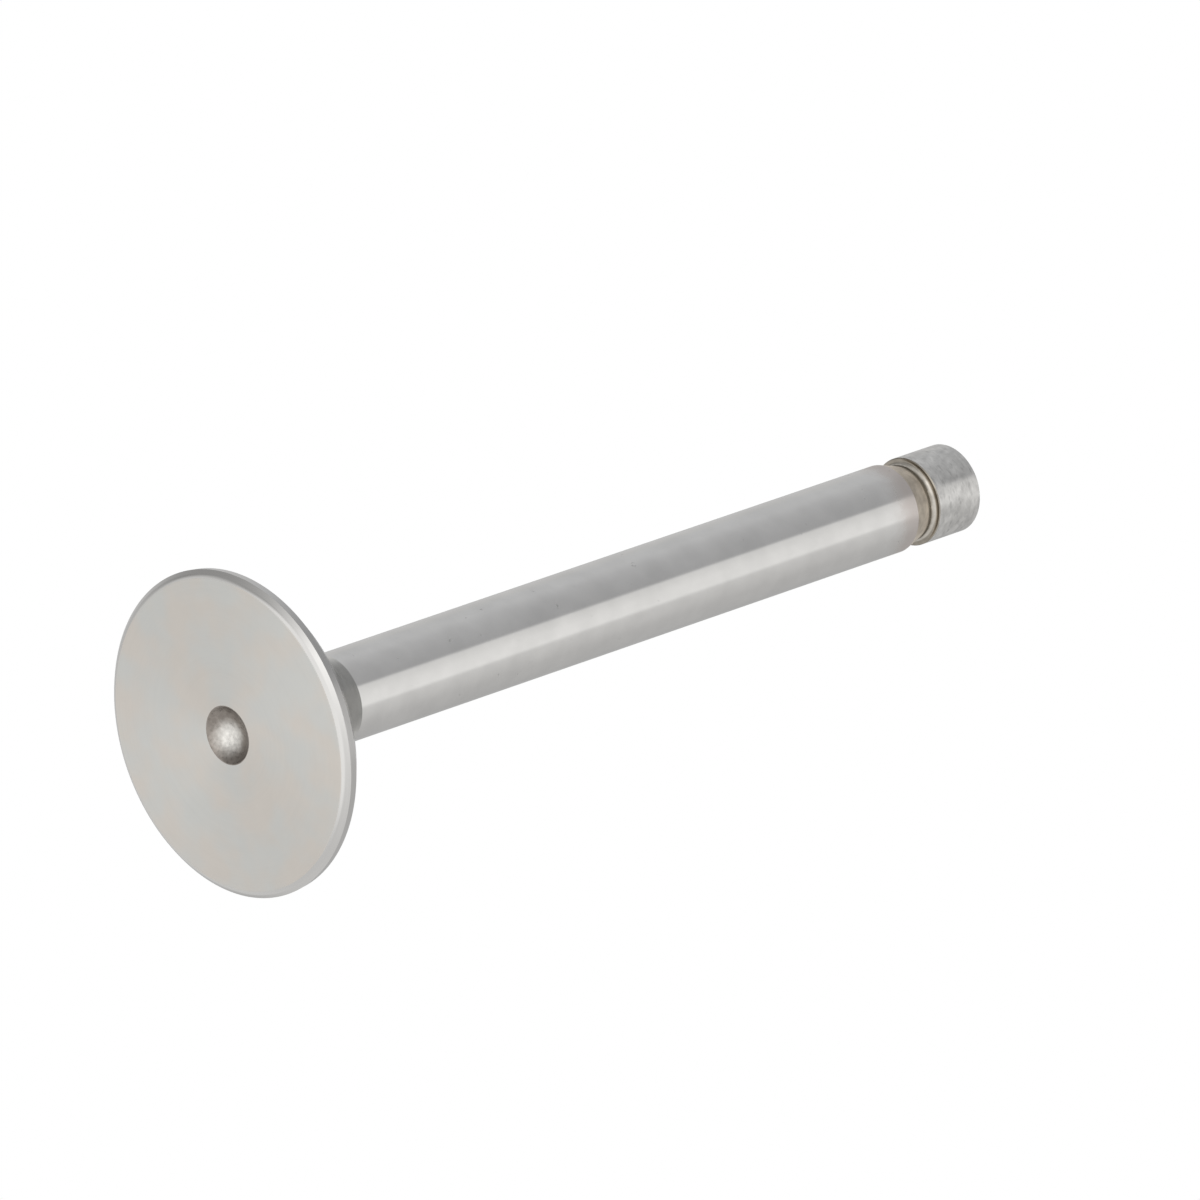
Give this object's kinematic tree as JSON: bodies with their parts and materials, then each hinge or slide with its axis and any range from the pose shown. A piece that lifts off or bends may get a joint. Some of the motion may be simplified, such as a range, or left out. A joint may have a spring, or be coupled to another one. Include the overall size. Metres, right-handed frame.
{
  "type": "engine valve",
  "caption": "Poppet valve with a flat round head, conical seat, central dimple, hollow-curved neck, straight ground stem and a keeper groove near the tip.",
  "frame": {"origin": "centre of the head's flat face, which the valve stands on", "axes": "+Z along the stem from the head to the tip; X and Y are equal, because the valve is a body of revolution"},
  "size_m": [0.0283, 0.0282, 0.0882],
  "materials": {
    "valve_steel": "turned face and neck, ground stem and seat, warm stain in the keeper groove"
  },
  "bodies": {
    "root": {"valve": "valve_steel"}
  },
  "joints": []
}
